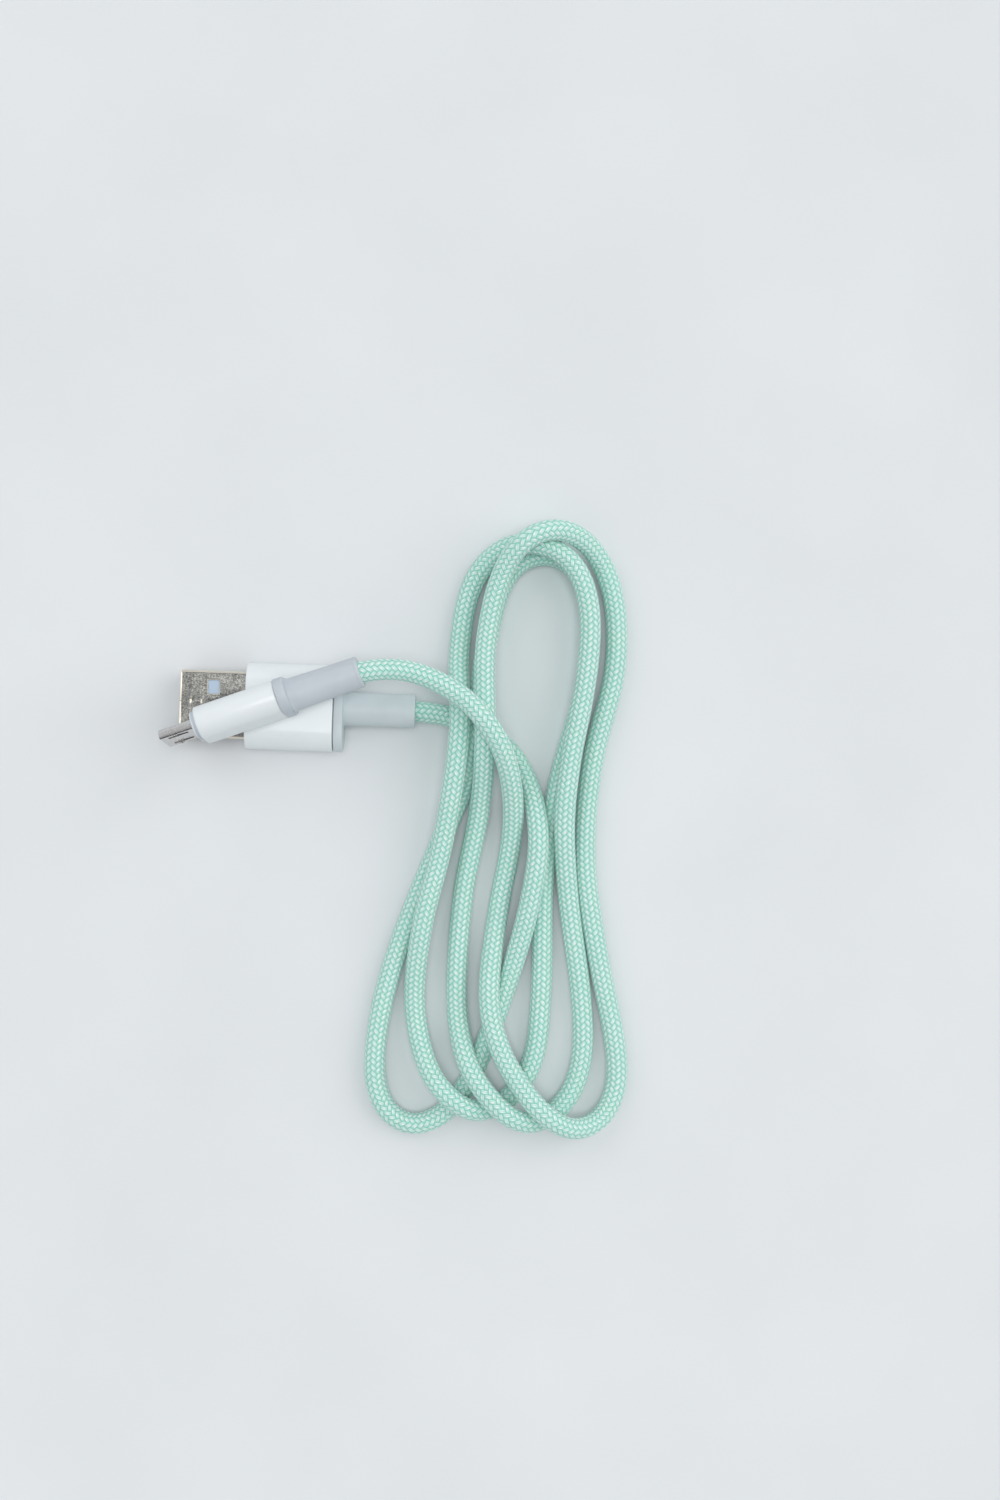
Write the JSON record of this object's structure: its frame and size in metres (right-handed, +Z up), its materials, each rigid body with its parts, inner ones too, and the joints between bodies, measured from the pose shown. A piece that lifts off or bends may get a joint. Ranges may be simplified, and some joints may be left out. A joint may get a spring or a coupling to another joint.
{
  "type": "charging cable",
  "caption": "Charging cable: a braided cord wound in loose loops, with a standard-A USB plug and a micro-B plug that has sprung latch hooks.",
  "frame": {"origin": "on the table, under the middle of the standard-A plug's sleeve", "axes": "+X from the standard-A plug's tip towards its cord, +Y across that plug, +Z up from the table"},
  "size_m": [0.0845, 0.1112, 0.0177],
  "materials": {
    "braid": "braided polyester, mint with white flecks",
    "white_gloss": "glossy moulded",
    "grey_elastomer": "matt, pale blue-grey",
    "plated_steel": "dull plated, mottled",
    "bright_steel": "bright plated",
    "shield_steel": "plain plated",
    "pale_insulator": "moulded, bluish white",
    "dark_insulator": "moulded, black",
    "contact_gold": "gold flash",
    "mould_plastic": "translucent white",
    "jacket": "matt, pale grey",
    "wire_red": "insulation",
    "wire_white": "insulation",
    "wire_green": "insulation",
    "wire_black": "insulation"
  },
  "bodies": {
    "cable": {"usb_a_shell": "plated_steel", "usb_a_insulator": "pale_insulator", "usb_a_contact_power": "contact_gold", "usb_a_contact_data_minus": "contact_gold", "usb_a_contact_data_plus": "contact_gold", "usb_a_contact_ground": "contact_gold", "usb_a_back_shield": "shield_steel", "usb_a_inner_mould": "mould_plastic", "usb_a_overmould": "grey_elastomer", "usb_a_sleeve": "white_gloss", "usb_a_braid_end": "braid", "usb_a_jacket_end": "jacket", "usb_a_wire_red": "wire_red", "usb_a_wire_white": "wire_white", "usb_a_wire_green": "wire_green", "usb_a_wire_black": "wire_black", "micro_b_shell": "bright_steel", "micro_b_insulator": "dark_insulator", "micro_b_back_shield": "shield_steel", "micro_b_inner_mould": "mould_plastic", "micro_b_overmould": "grey_elastomer", "micro_b_sleeve": "white_gloss", "micro_b_braid_end": "braid", "micro_b_jacket_end": "jacket", "micro_b_wire_red": "wire_red", "micro_b_wire_white": "wire_white", "micro_b_wire_green": "wire_green", "micro_b_wire_black": "wire_black", "cord": "braid"},
    "latch_left": {"micro_b_latch_left": "bright_steel"},
    "latch_right": {"micro_b_latch_right": "bright_steel"},
    "contact_springs": {"micro_b_contact_1": "contact_gold", "micro_b_contact_2": "contact_gold", "micro_b_contact_3": "contact_gold", "micro_b_contact_4": "contact_gold", "micro_b_contact_5": "contact_gold"}
  },
  "joints": [
    {"name": "latch_left_press", "type": "hinge", "parent": "cable", "child": "latch_left", "pos_m": [-0.01354, -0.00352, 0.01403], "axis": [0.1269, -0.1926, -0.973], "range_deg": [0, 3.8], "stiffness_Nm_per_rad": 0.06},
    {"name": "latch_right_press", "type": "hinge", "parent": "cable", "child": "latch_right", "pos_m": [-0.01303, -0.00429, 0.01014], "axis": [0.1269, -0.1926, -0.973], "range_deg": [0, 3.8], "stiffness_Nm_per_rad": 0.06},
    {"name": "contact_press", "type": "hinge", "parent": "cable", "child": "contact_springs", "pos_m": [-0.01088, -0.00233, 0.01208], "axis": [0.1269, -0.1926, -0.973], "range_deg": [0, 1.2], "stiffness_Nm_per_rad": 0.015}
  ]
}
